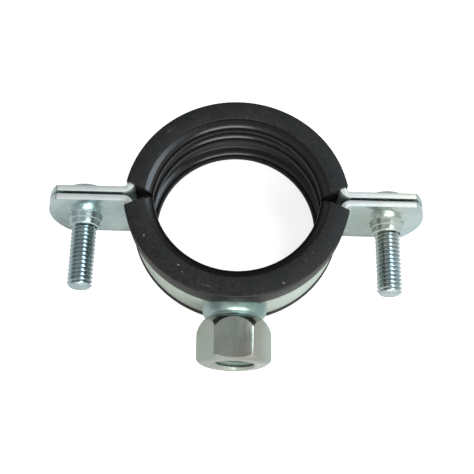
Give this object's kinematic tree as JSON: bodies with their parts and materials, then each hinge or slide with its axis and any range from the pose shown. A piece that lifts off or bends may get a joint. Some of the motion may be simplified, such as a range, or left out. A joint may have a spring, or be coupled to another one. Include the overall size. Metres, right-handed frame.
{
  "type": "rubber lined pipe clamp",
  "caption": "Steel pipe clamp in two lens-shaped halves with rubber lining, screwed ears and a hexagonal connection nut.",
  "frame": {"origin": "on the pipe's axis, in the plane where the two halves part, half way up the band's width", "axes": "+Z along the pipe's axis and up as the clamp lies on its side, X along the two ears, -Y out of the connection nut's mouth"},
  "size_m": [0.089, 0.0617, 0.0216],
  "materials": {
    "zinc_plated_strip": "satin",
    "zinc_plated_nut": "satin",
    "zinc_plated_screw": "satin",
    "epdm_rubber": "matte"
  },
  "bodies": {
    "lower_half": {"lower_band": "zinc_plated_strip", "lower_lining": "epdm_rubber", "connection_nut": "zinc_plated_nut"},
    "upper_half": {"upper_band": "zinc_plated_strip", "upper_lining": "epdm_rubber"},
    "left_screw_body": {"left_screw": "zinc_plated_screw"},
    "right_screw_body": {"right_screw": "zinc_plated_screw"}
  },
  "joints": [
    {"name": "clamp_opening", "type": "slide", "parent": "lower_half", "child": "upper_half", "axis": [0, 1, 0], "range_m": [0, 0.0145]},
    {"name": "left_screw_turn", "type": "hinge", "parent": "upper_half", "child": "left_screw_body", "pos_m": [-0.0361, 0, 0], "axis": [0, 1, 0], "range_deg": [0, 5221]},
    {"name": "right_screw_turn", "type": "hinge", "parent": "upper_half", "child": "right_screw_body", "pos_m": [0.0361, 0, 0], "axis": [0, 1, 0], "range_deg": [0, 5221]}
  ],
  "couplings": [
    {"joint": "left_screw_turn", "follows": "clamp_opening", "rad_per_m": 6283.2},
    {"joint": "right_screw_turn", "follows": "clamp_opening", "rad_per_m": 6283.2}
  ]
}
